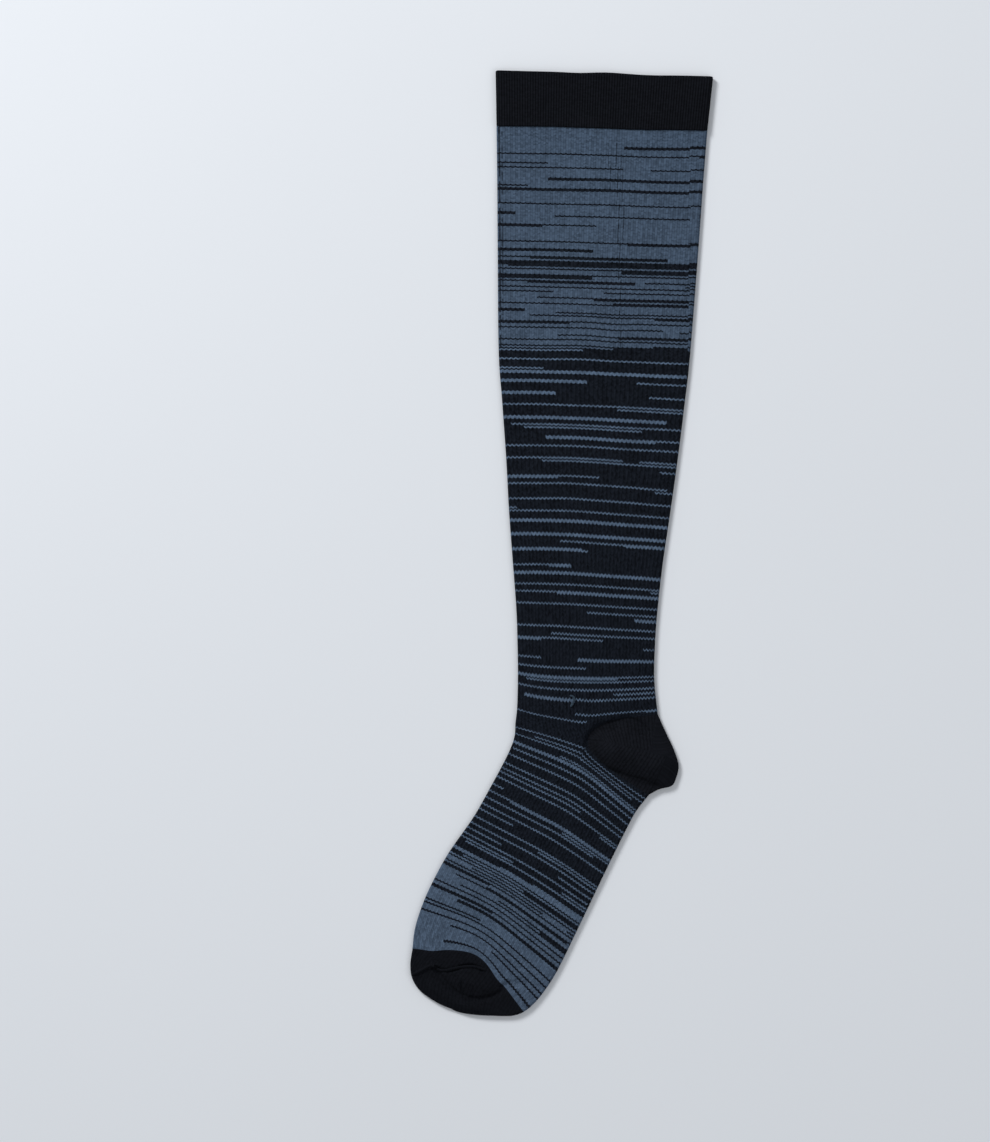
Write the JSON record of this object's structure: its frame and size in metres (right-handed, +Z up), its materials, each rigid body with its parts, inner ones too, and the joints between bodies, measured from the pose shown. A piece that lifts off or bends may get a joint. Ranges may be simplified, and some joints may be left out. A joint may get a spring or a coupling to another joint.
{
  "type": "compression stocking",
  "caption": "Knee-high compression stocking with a broad turned welt, pouch heel and closed toe, striped knit, laid flat on its side.",
  "frame": {"origin": "middle of the stocking's outline, on the surface that it lies on", "axes": "+X from the front edge to the back edge of the leg, +Y from the toe to the mouth, +Z up from the surface"},
  "size_m": [0.1725, 0.5385, 0.0099],
  "materials": {
    "welt_knit": "fine black rib, matt",
    "striped_knit": "slate blue and black plain knit with broken lines, matt with a faint sheen",
    "plain_knit": "dense black plain knit, matt"
  },
  "bodies": {
    "root": {"welt": "welt_knit", "leg": "striped_knit", "heel": "plain_knit", "foot": "striped_knit", "toe": "plain_knit"}
  },
  "joints": []
}
